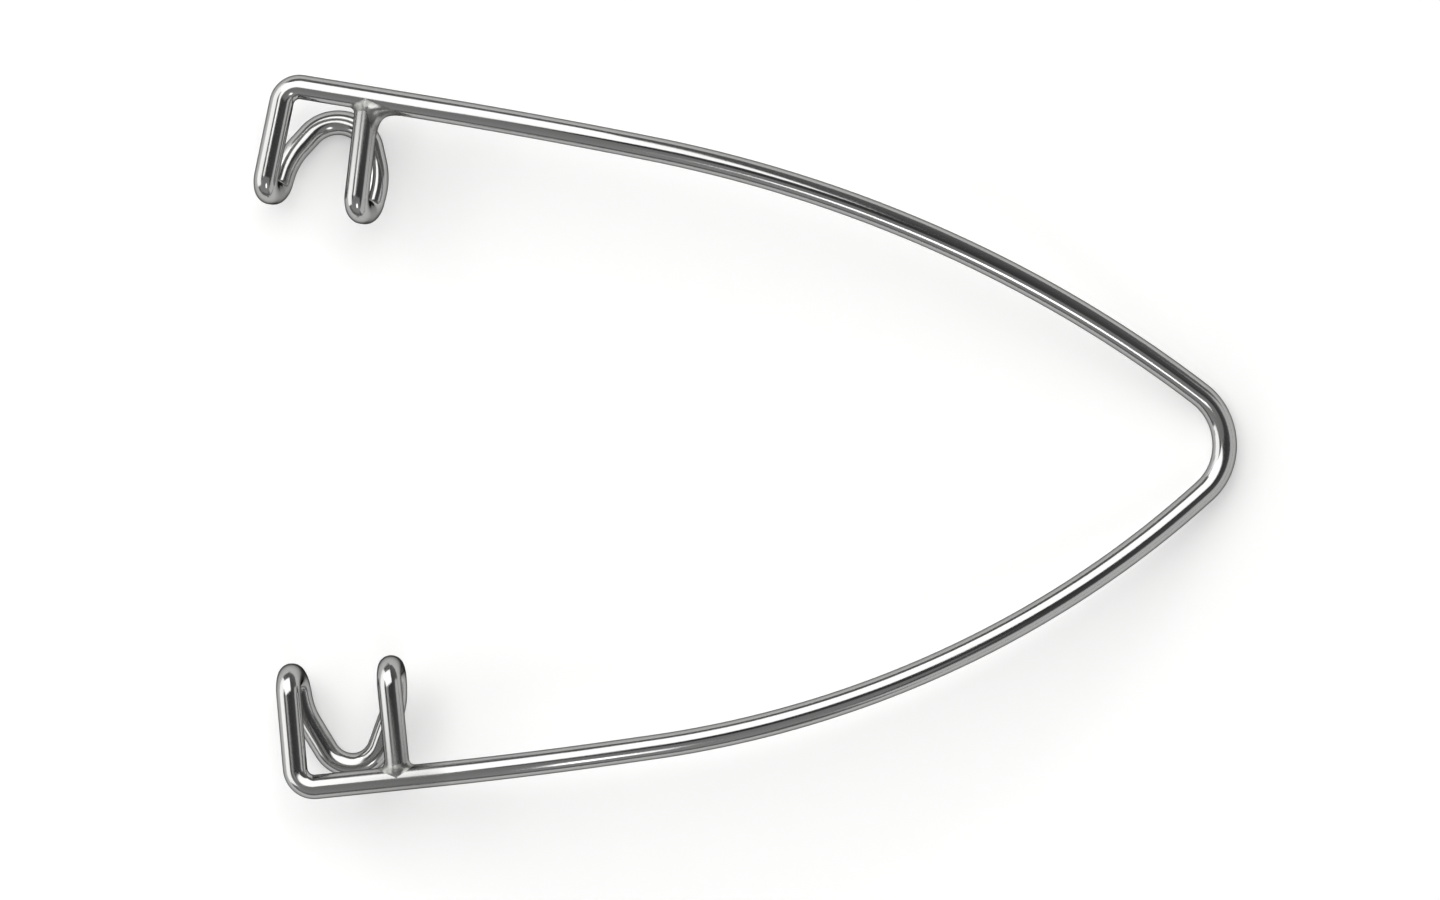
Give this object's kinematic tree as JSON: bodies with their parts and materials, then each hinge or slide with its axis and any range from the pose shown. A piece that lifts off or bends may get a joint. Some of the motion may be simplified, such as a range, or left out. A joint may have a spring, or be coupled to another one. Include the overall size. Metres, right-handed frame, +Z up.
{
  "type": "wire eye speculum",
  "caption": "Small eye speculum bent from round spring wire: a spring bend, bowed arms and a brazed, hooked wire blade on each arm that holds the eyelids open.",
  "frame": {"origin": "on the surface the instrument lies on, at the middle of its length and width", "axes": "+X along its length towards the spring bend, +Y across it towards the upper lid's arm, +Z up, away from the eye; the hooked blades reach down"},
  "size_m": [0.0402, 0.0294, 0.0052],
  "materials": {
    "polished_stainless": "hard-drawn stainless spring wire, bent, silver-brazed at two joints and buffed to a near-mirror polish"
  },
  "bodies": {
    "root": {"speculum_wire": "polished_stainless"}
  },
  "joints": []
}
